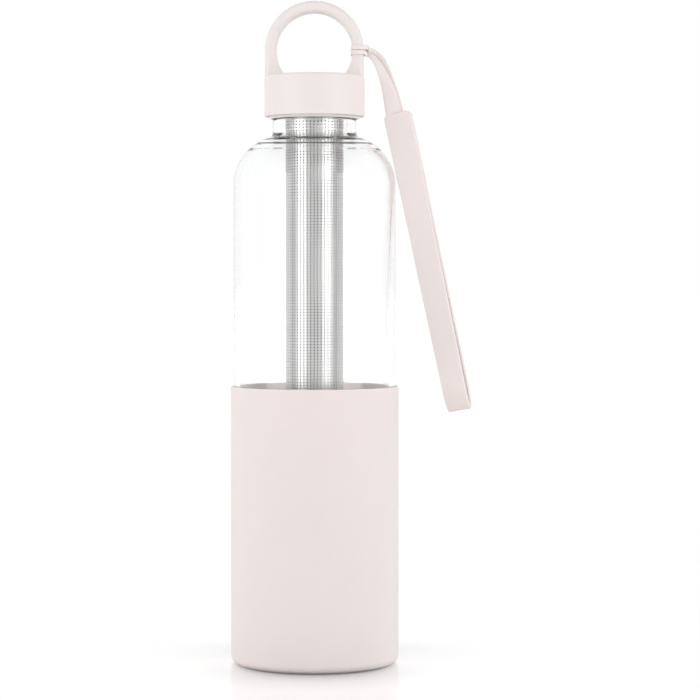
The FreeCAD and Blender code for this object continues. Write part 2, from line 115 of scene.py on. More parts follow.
class GlassSizes(bpy.types.PropertyGroup):
    wall: length("Wall", 2.2, "Thickness of the glass below the neck")
    floor: length("Floor", 5.0, "Thickness of the glass under the drink")
    heel: length("Heel", 5.0, "Rounding of the foot, outside")
    heel_inside: length("Inner heel", 6.0, "Rounding of the foot, inside")
    shoulder_height: length("Shoulder height", 193.0, "Where the straight wall ends")
    shoulder_round: length("Shoulder round", 20.0, "Rounding from the wall to the shoulder")
    ripple_from: angle("Ripple from", 44.0, "Where on the shoulder the inside starts to ripple")
    ripple: length("Ripple", 0.09, "Height of the ripples from there to the neck")
    neck_radius: length("Neck radius", 16.9, "Outside of the collar under the lid")
    neck_round: length("Neck round", 2.0, "Rounding from the shoulder to the neck")
    neck_inside: length("Inner neck round", 4.8, "Rounding from the shoulder to the mouth, inside")
    neck_length: length("Neck length", 5.0, "Height of the neck collar")
    neck_edge: length("Neck edge", 0.5, "Rounding of the collar's top edge")
    finish_radius: length("Finish radius", 15.7, "Outside of the mouth")
    bore_radius: length("Bore radius", 13.4, "Inside of the mouth")
    mouth_round: length("Mouth round", 0.8, "Rounding of the lip")
    lug_depth: length("Lug depth", 1.05, "How far a lug stands out of the mouth")
    lug_height: length("Lug height", 1.6, "Height of a lug")
    lug_drop: length("Lug drop", 4.2, "From the lip down to the lugs")
    lug_angle: angle("Lug angle", 50.0, "How far a lug reaches round the mouth")


class SleeveSizes(bpy.types.PropertyGroup):
    wall: length("Wall", 1.2, "Thickness of the sleeve")
    floor: length("Floor", 1.8, "Thickness of the sleeve's base")
    heel: length("Heel", 3.0, "Rounding of the foot, outside")
    rim_outside: length("Rim outside", 0.55, "Rounding of the upper edge, outside")
    rim_inside: length("Rim inside", 0.3, "Rounding of the upper edge, against the glass")


class InfuserSizes(bpy.types.PropertyGroup):
    wall: length("Wall", 0.4, "Thickness of the perforated sheet")
    hole: length("Hole", 0.66, "Diameter of a hole")
    row_pitch: length("Row pitch", 1.17, "From one row of holes to the next")
    hole_columns: IntProperty(
        name="Columns", description="Holes in one row round the tube", default=52, min=8
    )
    plain_top: length("Plain top", 4.0, "Height without holes under the rim")
    plain_foot: length("Plain foot", 5.5, "Height without holes over the base")
    fit: length("Fit", 0.05, "Gap between pieces that are pressed together")
    base_skirt: length("Base skirt", 4.0, "How far the base reaches up inside the tube")
    base_disc: length("Base disc", 0.5, "Thickness of the base")
    seat_wall: length("Seat wall", 1.35, "Thickness of the seat ring's skirt")
    seat_skirt: length("Seat skirt", 3.5, "How far the seat ring hangs into the mouth")
    base_edge: length("Base edge", 0.12, "Rounding of the base's edges")
    rim_edge: length("Rim edge", 0.2, "Rounding of the rim's edges")
    seat_edge: length("Seat edge", 0.25, "Rounding of the seat ring's edges")


class LidSizes(bpy.types.PropertyGroup):
    wall: length("Wall", 1.8, "Thickness of the lid's side")
    roof: length("Roof", 1.85, "Thickness of the lid's top")
    edge_round: length("Edge round", 1.2, "Rounding of the lid's upper edge")
    foot_round: length("Foot round", 0.25, "Rounding of the lid's lower edge")
    liner_wall: length("Liner wall", 1.2, "Thickness of the inner ring")
    liner_roof: length("Liner roof", 1.2, "Thickness of the inner ring's top")
    liner_lip: length("Liner lip", 1.0, "How far the inner ring shows under the lid")
    liner_chamfer: length("Liner chamfer", 0.5, "Slope of the lip")
    lug_tip: length("Lug tip", 16.1, "Radius that the inner lugs reach in to")
    lug_height: length("Lug height", 1.6, "Height of an inner lug")
    lug_rise: length("Lug rise", 3.68, "From the inner ring's foot up to its lugs")
    lug_angle: angle("Lug angle", 40.0, "How far an inner lug reaches")
    liner_edge: length("Liner edge", 0.15, "Rounding of the inner ring's edges")
    washer_edge: length("Washer edge", 0.3, "Rounding of the washer's edges")
    handle_bar: length("Handle bar", 4.6, "Thickness of the loop, seen from the front")
    handle_depth: length("Handle depth", 10.0, "Depth of the loop, front to back")
    handle_inset: length("Handle inset", 0.3, "From the lid's side in to the loop's side")
    handle_rise: length("Handle rise", 10.0, "From the lid's top up to the loop's centre")
    handle_round: length("Handle round", 2.0, "Rounding of the loop's long edges")


class StrapSizes(bpy.types.PropertyGroup):
    lean: angle("Lean", 12.0, "How far the hanging strap leans away from the bottle")
    collar_reach: length("Collar reach", 13.5, "From the handle's side out to the collar")
    collar_drop: length("Collar drop", 24.7, "From the loop's centre down to the collar")
    collar_width: length("Collar width", 10.9, "Width of the collar")
    collar_depth: length("Collar depth", 5.2, "Depth of the collar")
    collar_length: length("Collar length", 25.0, "Length of the collar")
    collar_bevel: length("Collar bevel", 1.5, "Slope of the collar's upper corners")
    collar_round: length("Collar round", 0.45, "Rounding of the collar's edges")
    collar_yaw: angle("Collar yaw", 12.0, "Turn of the collar about the strap")
    fold_yaw: angle("Fold yaw", 30.0, "Turn of the band's fold about the strap")
    band_width: length("Band width", 10.3, "Width of the band")
    band_layer: length("Band layer", 1.9, "Thickness of one layer")
    band_gap: length("Band gap", 1.2, "Gap between the two layers")
    band_length: length("Band length", 98.0, "From the collar to the fold")
    band_round: length("Band round", 0.5, "Rounding of the band's edges")
    fold_reach: length("Fold reach", 9.0, "Length over which the band curves into its fold")
    settle_length: length("Settle length", 22.0, "Length over which the band leaves the collar's size")
    thong_width: length("Thong width", 1.8, "Width of the thong round the handle")
    thong_thickness: length("Thong thickness", 0.6, "Thickness of the thong round the handle")
    foot_width: length("Foot width", 6.3, "Width of a strand at the collar")
    foot_thickness: length("Foot thickness", 1.7, "Thickness of a strand at the collar")
    strand_length: length("Strand length", 31.0, "Length over which a strand narrows")


class Finishes(bpy.types.PropertyGroup):
    sleeve: colour("Sleeve", (0.855, 0.775, 0.760), "Silicone of the sleeve")
    # The strap's own pink, set a little lighter than the sleeve's as painted light for how brightly it
    # is lit
    strap: colour("Strap", (0.875, 0.788, 0.765), "Silicone of the strap")
    lid: colour("Lid", (0.845, 0.778, 0.762), "Moulded plastic of the lid")
    liner: colour("Liner", (0.800, 0.760, 0.745), "Moulded plastic inside the lid")
    steel: colour("Steel", (0.540, 0.537, 0.533), "Steel of the infuser")
    # Near-black inside of the infuser's bore: painted shade, not the steel's own colour
    steel_painted_shade: colour("Steel inside", (0.05, 0.05, 0.05), "Unpolished inside of the infuser")
    seal: colour("Seal", (0.800, 0.790, 0.775), "Clear silicone of the seals")
    glass: colour("Glass", (0.993, 0.997, 0.996), "Tint of the glass")


class StageSettings(bpy.types.PropertyGroup):
    camera_place: FloatVectorProperty(
        name="Camera", description="Where the camera stands",
        default=(0.0143, -0.955, 0.1585), size=3, subtype="TRANSLATION", unit="LENGTH",
    )
    camera_tilt: angle("Tilt", 1.92, "How far the camera looks down")
    lens: FloatProperty(
        name="Lens", description="Focal length in millimetres", default=121.4, unit="CAMERA"
    )
    ambient: share("Ambient", 0.54, "Strength of the studio's even light")
    side_fill: share("Side fill", 0.90, "How much stronger that light is from both sides")
    ceiling: share("Ceiling", 0.30, "Brightness of the studio's ceiling in reflections")
    box_glow: FloatProperty(
        name="Softbox glow", description="Brightness of a softbox", default=1.8, min=0.0
    )
    box_angle: angle("Softbox angle", 52.0, "From the camera's side round to a softbox")
    box_away: length("Softbox distance", 1200.0, "From the bottle's axis out to a softbox")
    box_level: length("Softbox level", 300.0, "From the base up to a softbox's middle")
    box_width: length("Softbox width", 850.0, "Width of a softbox")
    box_height: length("Softbox height", 900.0, "Height of a softbox")
    floor_reach: length("Floor reach", 12000.0, "From the bottle out to the floor's sides")
    floor_drop: length("Floor drop", 0.1, "From the bottle's base down to the floor")
    floor_glow: share("Floor glow", 0.14, "White that the floor shows of itself")
    # Reach of the painted contact shade in the floor's colour
    contact_reach: length("Contact reach", 38.0, "How far the shade at the foot goes out")
    floor: colour("Floor", (0.95, 0.95, 0.95), "Pale glossy floor")


class BottleSettings(bpy.types.PropertyGroup):
    glass: PointerProperty(type=GlassSizes)
    sleeve: PointerProperty(type=SleeveSizes)
    infuser: PointerProperty(type=InfuserSizes)
    lid: PointerProperty(type=LidSizes)
    strap: PointerProperty(type=StrapSizes)
    finishes: PointerProperty(type=Finishes)
    stage: PointerProperty(type=StageSettings)


# Shared mesh work

def radius_of(node):
    """Outer radius of a round node."""
    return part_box(node)[1].x


def heights_of(node):
    """Lowest and highest point of a node."""
    low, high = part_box(node)
    return low.z, high.z


def between(first, last, part):
    """The value that lies a given part of the way from the first to the last."""
    return first + (last - first) * part


def polar(centre, radius, degrees):
    """A point of an outline, at a bearing in degrees above the outward direction."""
    turn = math.radians(degrees)
    return centre[0] + radius * math.cos(turn), centre[1] + radius * math.sin(turn)


def arc(centre, radius, start, end, steps=8):
    """Points of an arc in an outline, from one bearing to another."""
    return [polar(centre, radius, start + (end - start) * n / steps) for n in range(steps + 1)]


def turned(outline):
    """A mesh from an outline of (radius, height) points, spun once round the Z axis.

    An outline that starts on the axis ends there too; any other is closed.
    """
    bm = bmesh.new()
    verts = [bm.verts.new((radius, 0, height)) for radius, height in outline]
    ends = list(zip(verts, verts[1:]))
    if outline[0][0] > 0:
        ends.append((verts[-1], verts[0]))
    edges = [bm.edges.new(pair) for pair in ends]
    bmesh.ops.spin(
        bm, geom=verts + edges, axis=UP, cent=(0, 0, 0),
        angle=2 * math.pi, steps=TURN_STEPS, use_merge=True,
    )
    bmesh.ops.remove_doubles(bm, verts=bm.verts, dist=MERGE)
    bmesh.ops.recalc_face_normals(bm, faces=bm.faces)
    return bm


def verts_of(geom):
    return [item for item in geom if isinstance(item, bmesh.types.BMVert)]


def sharp_edges(bm):
    return [e for e in bm.edges if e.is_manifold and e.calc_face_angle() > SHARP]


def round_edges(bm, edges, offset, segments=3):
    bmesh.ops.bevel(
        bm, geom=edges, offset=offset, offset_type="OFFSET", segments=segments,
        profile=0.5, affect="EDGES", material=-1, clamp_overlap=True,
    )


def raise_lugs(bm, wall, tip, low, high, first, width):
    """Push the faces of a round wall in or out, from radius wall to radius tip, to make the lugs."""
    pitch = 2 * math.pi / LUG_COUNT
    faces = []
    for face in bm.faces:
        centre = face.calc_center_median()
        around = (math.atan2(centre.y, centre.x) - first + pitch / 2) % pitch - pitch / 2
        on_wall = abs(centre.xy.length - wall) < ON_WALL
        if on_wall and low < centre.z < high and abs(around) < width / 2:
            faces.append(face)
    grown = bmesh.ops.extrude_face_region(bm, geom=faces)["geom"]
    for vert in verts_of(grown):
        vert.co.xy *= tip / wall
    bmesh.ops.delete(bm, geom=faces, context="FACES")


def repeat(bm, count, step):
    """Copy a patch along a row and join the copies where they meet."""
    patch = bm.verts[:] + bm.edges[:] + bm.faces[:]
    for number in range(1, count):
        copy = bmesh.ops.duplicate(bm, geom=patch)["geom"]
        bmesh.ops.translate(bm, verts=verts_of(copy), vec=Vector(step) * number)
    bmesh.ops.remove_doubles(bm, verts=bm.verts, dist=MERGE)


def rounded_section(width, thickness, corner, segments=3):
    """A mesh of one face: a rectangle in the XY plane with round corners."""
    bm = bmesh.new()
    bmesh.ops.create_grid(bm, x_segments=1, y_segments=1, size=0.5)
    bmesh.ops.scale(bm, verts=bm.verts, vec=(width, thickness, 1))
    bmesh.ops.bevel(
        bm, geom=bm.verts[:], offset=corner, offset_type="OFFSET", segments=segments,
        profile=0.5, affect="VERTICES", material=-1,
    )
    return bm


def carry(bm, places):
    """Extrude the mesh's one face through places, each a matrix that takes the first face there."""
    face = bm.faces[:][0]
    own = {vert: vert.co.copy() for vert in face.verts}
    for vert, co in own.items():
        vert.co = places[0] @ co
    for number, place in enumerate(places[1:]):
        grown = bmesh.ops.extrude_face_region(bm, geom=[face])["geom"]
        if number:
            bmesh.ops.delete(bm, geom=[face], context="FACES_ONLY")
        face = next(g for g in grown if isinstance(g, bmesh.types.BMFace))
        moved = {}
        for vert in face.verts:
            before = next(n for n in (e.other_vert(vert) for e in vert.link_edges) if n in own)
            moved[vert] = own[before]
        for vert, co in moved.items():
            vert.co = place @ co
        own = moved
    bmesh.ops.recalc_face_normals(bm, faces=bm.faces)


def add_piece(name, bm):
    """A shown object from a finished mesh, smooth but for its sharp edges."""
    for face in bm.faces:
        face.smooth = True
    for edge in sharp_edges(bm):
        edge.smooth = False
    mesh = bpy.data.meshes.new(name)
    bm.to_mesh(mesh)
    bm.free()
    piece = bpy.data.objects.new(name, mesh)
    bpy.context.scene.collection.objects.link(piece)
    return piece


def even_shading(piece):
    """Keep flat faces flat beside small rounded edges."""
    modifier = piece.modifiers.new("even_shading", "WEIGHTED_NORMAL")
    modifier.keep_sharp = True
    return piece


def round_piece(name, outline, edge):
    """A turned piece with its sharp edges rounded."""
    bm = turned(outline)
    round_edges(bm, sharp_edges(bm), edge)
    return even_shading(add_piece(name, bm))


def dress(piece, material, slot, *nodes):
    """Give a piece its material and hide the CAD nodes it is drawn in place of. The slot is not used.
    """
    piece.data.materials.append(material)
    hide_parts(*nodes)


# Materials

def fill_inputs(tree, node, inputs):
    """Fill a node's inputs, each with a value or with the socket that feeds it."""
    for name, value in inputs.items():
        if isinstance(value, bpy.types.NodeSocket):
            tree.links.new(value, node.inputs[name])
        else:
            node.inputs[name].default_value = value


def add_node(tree, kind, inputs=None, **settings):
    """A shader node with its settings and its inputs."""
    node = tree.nodes.new("ShaderNode" + kind)
    for name, value in settings.items():
        setattr(node, name, value)
    fill_inputs(tree, node, inputs or {})
    return node


def math_node(tree, operation, *values):
    """The result of a Math node."""
    return add_node(tree, "Math", dict(enumerate(values)), operation=operation).outputs[0]


def mix_colour(tree, part, first, second):
    """A colour that lies a given part of the way from the first to the second."""
    inputs = {"Factor": part, "A": first, "B": second}
    return add_node(tree, "Mix", inputs, data_type="RGBA").outputs["Result"]


def new_material(name):
    """A node material, its node tree and its Principled shader."""
    material = bpy.data.materials.new(name)
    material.use_nodes = True
    tree = material.node_tree
    return material, tree, tree.nodes["Principled BSDF"]


def surface_grain_group():
    """Soft cloudy tone and fine grain, for every moulded or drawn surface."""
    name = "surface_grain"
    if name in bpy.data.node_groups:
        return bpy.data.node_groups[name]
    group = bpy.data.node_groups.new(name, "ShaderNodeTree")
    sockets = group.interface
    sockets.new_socket("Vector", in_out="INPUT", socket_type="NodeSocketVector")
    for label in ("Grain Scale", "Cloud Scale", "Roughness", "Roughness Spread"):
        sockets.new_socket(label, in_out="INPUT", socket_type="NodeSocketFloat")
    for label in ("Tone", "Roughness", "Height"):
        sockets.new_socket(label, in_out="OUTPUT", socket_type="NodeSocketFloat")
    given = group.nodes.new("NodeGroupInput")
    made = group.nodes.new("NodeGroupOutput")

    def noise(scale, detail):
        return add_node(group, "TexNoise", {
            "Vector": given.outputs["Vector"], "Scale": given.outputs[scale], "Detail": detail,
        }).outputs["Fac"]

    tone = noise("Cloud Scale", 2.0)
    roughness = math_node(
        group, "MULTIPLY_ADD", math_node(group, "SUBTRACT", tone, 0.5),
        given.outputs["Roughness Spread"], given.outputs["Roughness"],
    )
    height = noise("Grain Scale", 3.0)
    fill_inputs(group, made, {"Tone": tone, "Roughness": roughness, "Height": height})
    return group


def add_grain(tree, shader, grain_scale, cloud_scale, roughness, spread, bump, depth, stretch=1):
    """Let grain on Object coordinates drive a shader's roughness and bump, and return its tone."""
    place = add_node(tree, "TexCoord").outputs["Object"]
    mapped = add_node(tree, "Mapping", {"Vector": place, "Scale": (1, 1, stretch)})
    grain = add_node(tree, "Group", {
        "Vector": mapped.outputs["Vector"], "Grain Scale": grain_scale, "Cloud Scale": cloud_scale,
        "Roughness": roughness, "Roughness Spread": spread,
    }, node_tree=surface_grain_group())
    uneven = add_node(tree, "Bump", {
        "Strength": bump, "Distance": depth, "Height": grain.outputs["Height"],
    })
    fill_inputs(tree, shader, {
        "Roughness": grain.outputs["Roughness"], "Normal": uneven.outputs["Normal"],
    })
    return grain.outputs["Tone"]


def add_tone(tree, shader, tone, base, change):
    """Vary a colour a little over the surface, from base less change to base."""
    deep = (*(channel * (1 - change) for channel in base), 1)
    fill_inputs(tree, shader, {"Base Color": mix_colour(tree, tone, deep, (*base, 1))})


def silicone_material(name, base, translucence):
    """Soft silicone rubber with a dry, powdery surface. A thin wall lets some light through."""
    material, tree, shader = new_material(name)
    tone = add_grain(
        tree, shader, grain_scale=2600.0, cloud_scale=45.0, roughness=0.56, spread=0.10,
        bump=0.18, depth=0.06 * MM,
    )
    add_tone(tree, shader, tone, base, change=0.035)
    fill_inputs(tree, shader, {
        "Subsurface Weight": translucence,
        "Subsurface Radius": (1.0, 0.75, 0.70),
        "Subsurface Scale": 1.5 * MM,
        "IOR": 1.41,
        "Sheen Weight": 0.12,
        "Sheen Roughness": 0.5,
    })
    return material


def moulded_material(name, base, roughness):
    """Satin moulded plastic."""
    material, tree, shader = new_material(name)
    tone = add_grain(
        tree, shader, grain_scale=1500.0, cloud_scale=60.0, roughness=roughness, spread=0.08,
        bump=0.10, depth=0.04 * MM,
    )
    add_tone(tree, shader, tone, base, change=0.02)
    fill_inputs(tree, shader, {"IOR": 1.49})
    return material


def steel_material(base, inside, bore):
    """Drawn stainless steel, faintly brushed round the tube, with painted shade inside its bore: a
    near-black colour there.
    """
    material, tree, shader = new_material("infuser_steel")
    add_grain(
        tree, shader, grain_scale=120.0, cloud_scale=30.0, roughness=0.31, spread=0.04,
        bump=0.04, depth=0.02 * MM, stretch=30,
    )
    place = add_node(tree, "TexCoord").outputs["Object"]
    level = add_node(tree, "VectorMath", {0: place, 1: (1, 1, 0)}, operation="MULTIPLY")
    radius = add_node(tree, "VectorMath", {0: level.outputs["Vector"]}, operation="LENGTH")
    outside = math_node(tree, "GREATER_THAN", radius.outputs["Value"], bore)
    # Painted shade: inside the bore the steel's colour is near-black.
    fill_inputs(tree, shader, {
        "Base Color": mix_colour(tree, outside, (*inside, 1), (*base, 1)), "Metallic": 1.0,
    })
    return material


def seal_material(base):
    """Milky silicone of the washer and the seat ring."""
    material, tree, shader = new_material("seal_silicone")
    tone = add_grain(
        tree, shader, grain_scale=1800.0, cloud_scale=80.0, roughness=0.42, spread=0.08,
        bump=0.10, depth=0.04 * MM,
    )
    add_tone(tree, shader, tone, base, change=0.05)
    return material


def glass_material(base):
    """Clear soda glass. Light passes it on its way to the pieces inside."""
    material, tree, shader = new_material("clear_glass")
    add_grain(
        tree, shader, grain_scale=38.0, cloud_scale=25.0, roughness=0.006, spread=0.010,
        bump=0.02, depth=0.05 * MM,
    )
    fill_inputs(tree, shader, {"Base Color": (*base, 1), "Transmission Weight": 1.0, "IOR": 1.5})
    rays = add_node(tree, "LightPath").outputs
    passing = math_node(tree, "MAXIMUM", rays["Is Shadow Ray"], rays["Is Diffuse Ray"])
    clear = add_node(tree, "BsdfTransparent")
    mix = add_node(tree, "MixShader", {
        "Fac": passing, 1: shader.outputs["BSDF"], 2: clear.outputs["BSDF"],
    })
    fill_inputs(tree, tree.nodes["Material Output"], {"Surface": mix.outputs["Shader"]})
    return material


# Pieces

def glass_outline(sizes):
    """The glass in section: up the outside, over the lip and down the inside."""
    radius = radius_of("glass_bottle")
    base, mouth = heights_of("glass_bottle")
    inside = radius - sizes.wall
    floor = base + sizes.floor
    shoulder = (radius - sizes.shoulder_round, sizes.shoulder_height)
    shoulder_inside = sizes.shoulder_round - sizes.wall
    ripple_from = math.degrees(sizes.ripple_from)

    def neck_fillet(shoulder_round, foot_radius, fillet):
        """Centre of the fillet that joins the shoulder to a neck, and the joint's bearing."""
        across = foot_radius + fillet
        apart = shoulder_round + fillet
        lean = math.acos((across - shoulder[0]) / apart)
        return (across, shoulder[1] + apart * math.sin(lean)), math.degrees(lean)

    outer, outer_lean = neck_fillet(sizes.shoulder_round, sizes.neck_radius, sizes.neck_round)
    inner, inner_lean = neck_fillet(shoulder_inside, sizes.bore_radius, sizes.neck_inside)
    # Faint rings run round the inside of the shoulder, up to the neck.
    rippled = []
    for step in range(1, RIPPLE_STEPS):
        part = 1 - step / RIPPLE_STEPS
        depth = sizes.ripple * (1 - math.cos(math.tau * RIPPLE_COUNT * part)) / 2
        lean = between(ripple_from, inner_lean, part)
        rippled.append(polar(shoulder, shoulder_inside - depth, lean))
    neck_top = outer[1] + sizes.neck_length
    edge, lip = sizes.neck_edge, sizes.mouth_round
    lug_top = mouth - sizes.lug_drop
    return (
        [(0, base)]
        + arc((radius - sizes.heel, base + sizes.heel), sizes.heel, -90, 0)
        + arc(shoulder, sizes.shoulder_round, 0, outer_lean, 28)
        + arc(outer, sizes.neck_round, 180 + outer_lean, 180)[1:]
        + arc((sizes.neck_radius - edge, neck_top - edge), edge, 0, 90, 5)
        + [(sizes.finish_radius, neck_top)]
        + [(sizes.finish_radius, lug_top - sizes.lug_height), (sizes.finish_radius, lug_top)]
        + arc((sizes.finish_radius - lip, mouth - lip), lip, 0, 90, 5)
        + arc((sizes.bore_radius + lip, mouth - lip), lip, 90, 180, 5)
        + arc(inner, sizes.neck_inside, 180, 180 + inner_lean, 12)
        + rippled
        + arc(shoulder, shoulder_inside, ripple_from, 0, 18)
        + arc((inside - sizes.heel_inside, floor + sizes.heel_inside), sizes.heel_inside, 0, -90)
        + [(0, floor)]
    )


class BuildGlass(bpy.types.Operator):
    """Make the glass body with its neck, its mouth and the lugs that lock the lid"""
    bl_idname = "infuser_bottle.glass"
    bl_label = "Glass"

    def execute(self, context):
        settings = context.scene.infuser_bottle
        sizes = settings.glass
        bm = turned(glass_outline(sizes))
        top = heights_of("glass_bottle")[1] - sizes.lug_drop
        raise_lugs(
            bm, sizes.finish_radius, sizes.finish_radius + sizes.lug_depth,
            top - sizes.lug_height, top, 0.0, sizes.lug_angle,
        )
        piece = add_piece("bottle_glass", bm)
        dress(piece, glass_material(settings.finishes.glass), "glass", "glass_bottle")
        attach(piece, "bottle")
        return {"FINISHED"}


class BuildSleeve(bpy.types.Operator):
    """Make the soft sleeve round the lower half of the glass"""
    bl_idname = "infuser_bottle.sleeve"
    bl_label = "Sleeve"

    def execute(self, context):
        settings = context.scene.infuser_bottle
        sizes = settings.sleeve
        radius = radius_of("silicone_sleeve")
        foot, top = heights_of("silicone_sleeve")
        bore = radius - sizes.wall
        heel = settings.glass.heel
        floor = foot + sizes.floor
        outside, inside = sizes.rim_outside, sizes.rim_inside
        bm = turned(
            [(0, foot)]
            + arc((radius - sizes.heel, foot + sizes.heel), sizes.heel, -90, 0, 10)
            + arc((radius - outside, top - outside), outside, 0, 90, 6)
            + arc((bore + inside, top - inside), inside, 90, 180, 5)
            + arc((bore - heel, floor + heel), heel, 0, -90)
            + [(0, floor)]
        )
        piece = even_shading(add_piece("sleeve", bm))
        silicone = silicone_material("sleeve_silicone", settings.finishes.sleeve, translucence=0.5)
        dress(piece, silicone, "silicone", "silicone_sleeve")
        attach(piece, "bottle")
        return {"FINISHED"}


def perforated_tube(sizes, foot, rows, plain_foot, plain_top):
    """A perforated sheet rolled into a tube, with plain ends where they are wanted."""
    radius = radius_of("infuser_tube")
    pitch = 2 * math.pi * radius / sizes.hole_columns
    bm = bmesh.new()
    bmesh.ops.create_circle(bm, segments=HOLE_CORNERS, radius=sizes.hole / 2)
    cell = bmesh.ops.create_circle(bm, segments=HOLE_CORNERS, radius=sizes.hole)["verts"]
    for vert in cell:
        for axis, half in ((0, pitch / 2), (1, sizes.row_pitch / 2)):
            vert.co[axis] = half * round(vert.co[axis] / sizes.hole)
    bmesh.ops.bridge_loops(bm, edges=bm.edges[:])
    repeat(bm, sizes.hole_columns, (pitch, 0, 0))
    repeat(bm, rows, (0, sizes.row_pitch, 0))

    low = foot + plain_foot + sizes.row_pitch / 2
    for vert in bm.verts:
        turn = vert.co.x / radius
        vert.co = (radius * math.sin(turn), -radius * math.cos(turn), low + vert.co.y)
    bmesh.ops.remove_doubles(bm, verts=bm.verts, dist=MERGE)
    top = low + (rows - 0.5) * sizes.row_pitch
    for height, rise in ((low - sizes.row_pitch / 2, -plain_foot), (top, plain_top)):
        if rise:
            rim = [
                e for e in bm.edges
                if e.is_boundary and all(abs(v.co.z - height) < MERGE for v in e.verts)
            ]
            grown = bmesh.ops.extrude_edge_only(bm, edges=rim)["geom"]
            bmesh.ops.translate(bm, verts=verts_of(grown), vec=(0, 0, rise))
    bmesh.ops.recalc_face_normals(bm, faces=bm.faces)
    bmesh.ops.solidify(bm, geom=bm.faces[:], thickness=sizes.wall)
    return bm


class BuildInfuser(bpy.types.Operator):
    """Make the perforated tube, its base, its rim and the soft ring that seats it in the mouth"""
    bl_idname = "infuser_bottle.infuser"
    bl_label = "Infuser"

    def execute(self, context):
        settings = context.scene.infuser_bottle
        sizes = settings.infuser
        finishes = settings.finishes
        skin = 0.1 * MM
        bore = radius_of("infuser_tube") - skin
        steel = steel_material(finishes.steel, finishes.steel_painted_shade, bore)
        self.make_tube(sizes, steel)
        self.make_base(sizes, steel)
        self.make_rim(sizes, steel)
        self.make_seat(sizes, seal_material(finishes.seal))
        return {"FINISHED"}

    def make_tube(self, sizes, steel):
        """Three lengths, so that none has too many faces."""
        foot, top = heights_of("infuser_tube")
        rows = int((top - foot - sizes.plain_top - sizes.plain_foot) / sizes.row_pitch)
        third = rows // 3
        plain_top = top - foot - sizes.plain_foot - rows * sizes.row_pitch
        for name, count, plain_foot, plain_head in (
            ("infuser_tube_lower", third, sizes.plain_foot, 0),
            ("infuser_tube_middle", third, 0, 0),
            ("infuser_tube_upper", rows - 2 * third, 0, plain_top),
        ):
            piece = add_piece(name, perforated_tube(sizes, foot, count, plain_foot, plain_head))
            dress(piece, steel, "steel", "infuser_tube")
            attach(piece, "infuser")
            foot += plain_foot + count * sizes.row_pitch

    def make_base(self, sizes, steel):
        foot = heights_of("infuser_base")[0]
        disc = foot + sizes.base_disc
        radius = radius_of("infuser_base")
        skirt = radius - sizes.wall - sizes.fit
        piece = round_piece("infuser_cap", [
            (0, foot), (radius, foot), (radius, disc), (skirt, disc),
            (skirt, disc + sizes.base_skirt), (skirt - sizes.wall, disc + sizes.base_skirt),
            (skirt - sizes.wall, disc), (0, disc),
        ], sizes.base_edge)
        dress(piece, steel, "steel", "infuser_base")
        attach(piece, "infuser")

    def make_rim(self, sizes, steel):
        foot, top = heights_of("infuser_rim")
        inner = radius_of("infuser_tube") + sizes.fit
        outer = radius_of("infuser_rim")
        outline = [(inner, foot), (outer, foot), (outer, top), (inner, top)]
        piece = round_piece("infuser_flange", outline, sizes.rim_edge)
        dress(piece, steel, "steel", "infuser_rim")
        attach(piece, "infuser")

    def make_seat(self, sizes, soft):
        foot, top = heights_of("infuser_seat_ring")
        inner = radius_of("infuser_tube") + sizes.fit
        skirt = inner + sizes.seat_wall
        outer = radius_of("infuser_seat_ring")
        ledge = foot + sizes.seat_skirt
        piece = round_piece("infuser_seat", [
            (inner, foot), (skirt, foot), (skirt, ledge),
            (outer, ledge), (outer, top), (inner, top),
        ], sizes.seat_edge)
        dress(piece, soft, "seal", "infuser_seat_ring")
        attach(piece, "infuser")


def lid_radius(settings):
    """Radius of the lid's side."""
    return radius_of("lid_liner") + settings.infuser.fit + settings.lid.wall


def lid_top(settings):
    """Height of the lid's flat top, under the handle."""
    return heights_of("lid_liner")[1] + settings.infuser.fit + settings.lid.roof


def lid_cup(settings):
    """The lid without its handle."""
    sizes = settings.lid
    radius = lid_radius(settings)
    foot = heights_of("lid_shell")[0]
    top = lid_top(settings)
    bore = radius - sizes.wall
    bm = turned(
        [(0, top - sizes.roof), (bore, top - sizes.roof), (bore, foot), (radius, foot)]
        + arc((radius - sizes.edge_round, top - sizes.edge_round), sizes.edge_round, 0, 90)
        + [(0, top)]
    )
    round_edges(bm, sharp_edges(bm), sizes.foot_round)
    return bm


def hitch_place(settings):
    """The middle of the handle's right limb, on its outer side, where the strap is hitched."""
    side = lid_radius(settings) - settings.lid.handle_inset
    return Vector((side, 0, lid_top(settings) + settings.lid.handle_rise))


